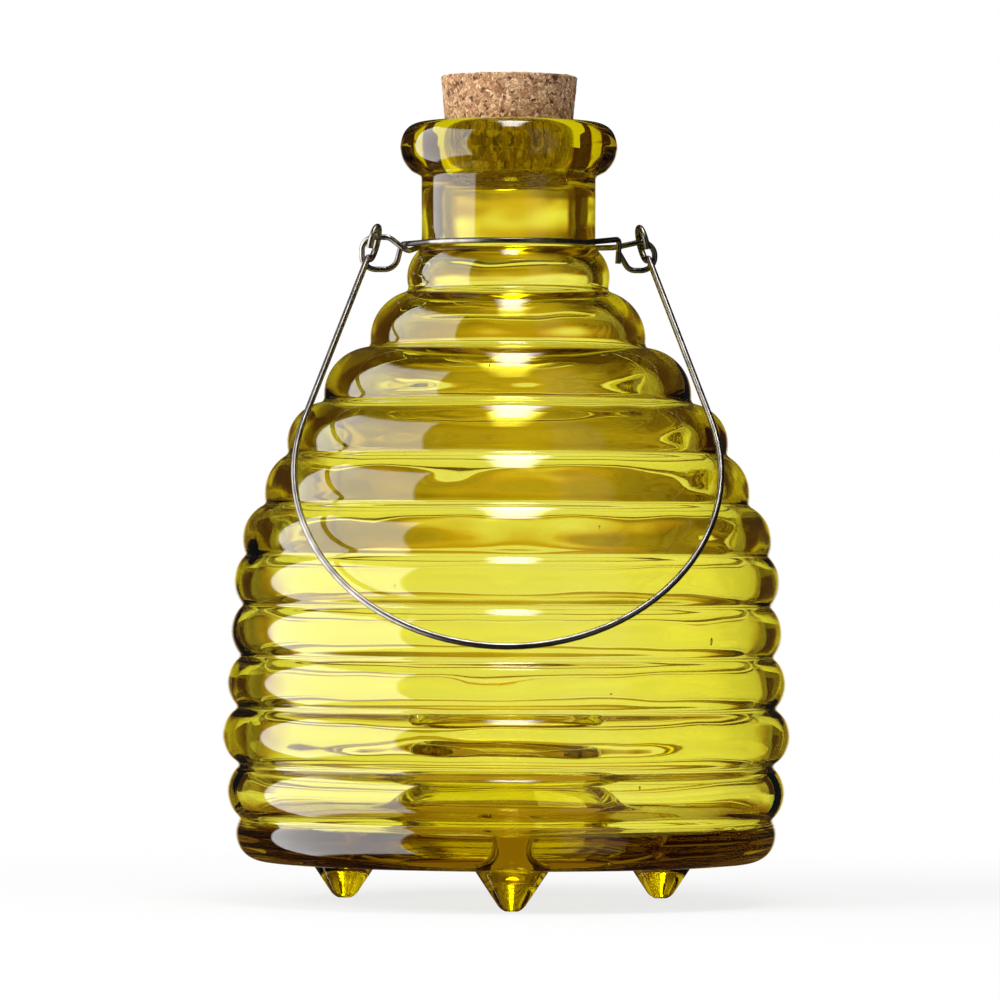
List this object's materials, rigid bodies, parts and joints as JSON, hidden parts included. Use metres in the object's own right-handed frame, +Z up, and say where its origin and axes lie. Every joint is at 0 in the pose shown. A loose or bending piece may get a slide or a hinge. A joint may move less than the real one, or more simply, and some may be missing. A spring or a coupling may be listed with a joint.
{
  "type": "glass fly trap",
  "caption": "Ribbed beehive fly trap of yellow glass on feet, with a way in through its base, a cork in its rolled mouth and a wire bail linked to a wire round its neck.",
  "frame": {"origin": "on the vessel's axis, at the level where the feet stand", "axes": "+Z up along the vessel's axis, -Y towards the resting bail, +X to the right of someone facing it"},
  "size_m": [0.14, 0.14, 0.2037],
  "materials": {
    "glass": "clear yellow blown glass, darker at its edges",
    "cork": "pressed cork granules, matt",
    "wire": "drawn steel wire, dark grey"
  },
  "bodies": {
    "vessel": {"glass_vessel": "glass", "foot_front": "glass", "foot_rear_left": "glass", "foot_rear_right": "glass", "neck_wire": "wire"},
    "cork": {"cork_stopper": "cork"},
    "bail": {"bail_handle": "wire"}
  },
  "joints": [
    {"name": "cork_pull", "type": "slide", "parent": "vessel", "child": "cork", "axis": [0, 0, 1], "range_m": [0, 0.04]},
    {"name": "bail_swing", "type": "hinge", "parent": "vessel", "child": "bail", "pos_m": [0, -0.0006, 0.16228], "axis": [-1, 0, 0], "range_deg": [0, 280]}
  ]
}
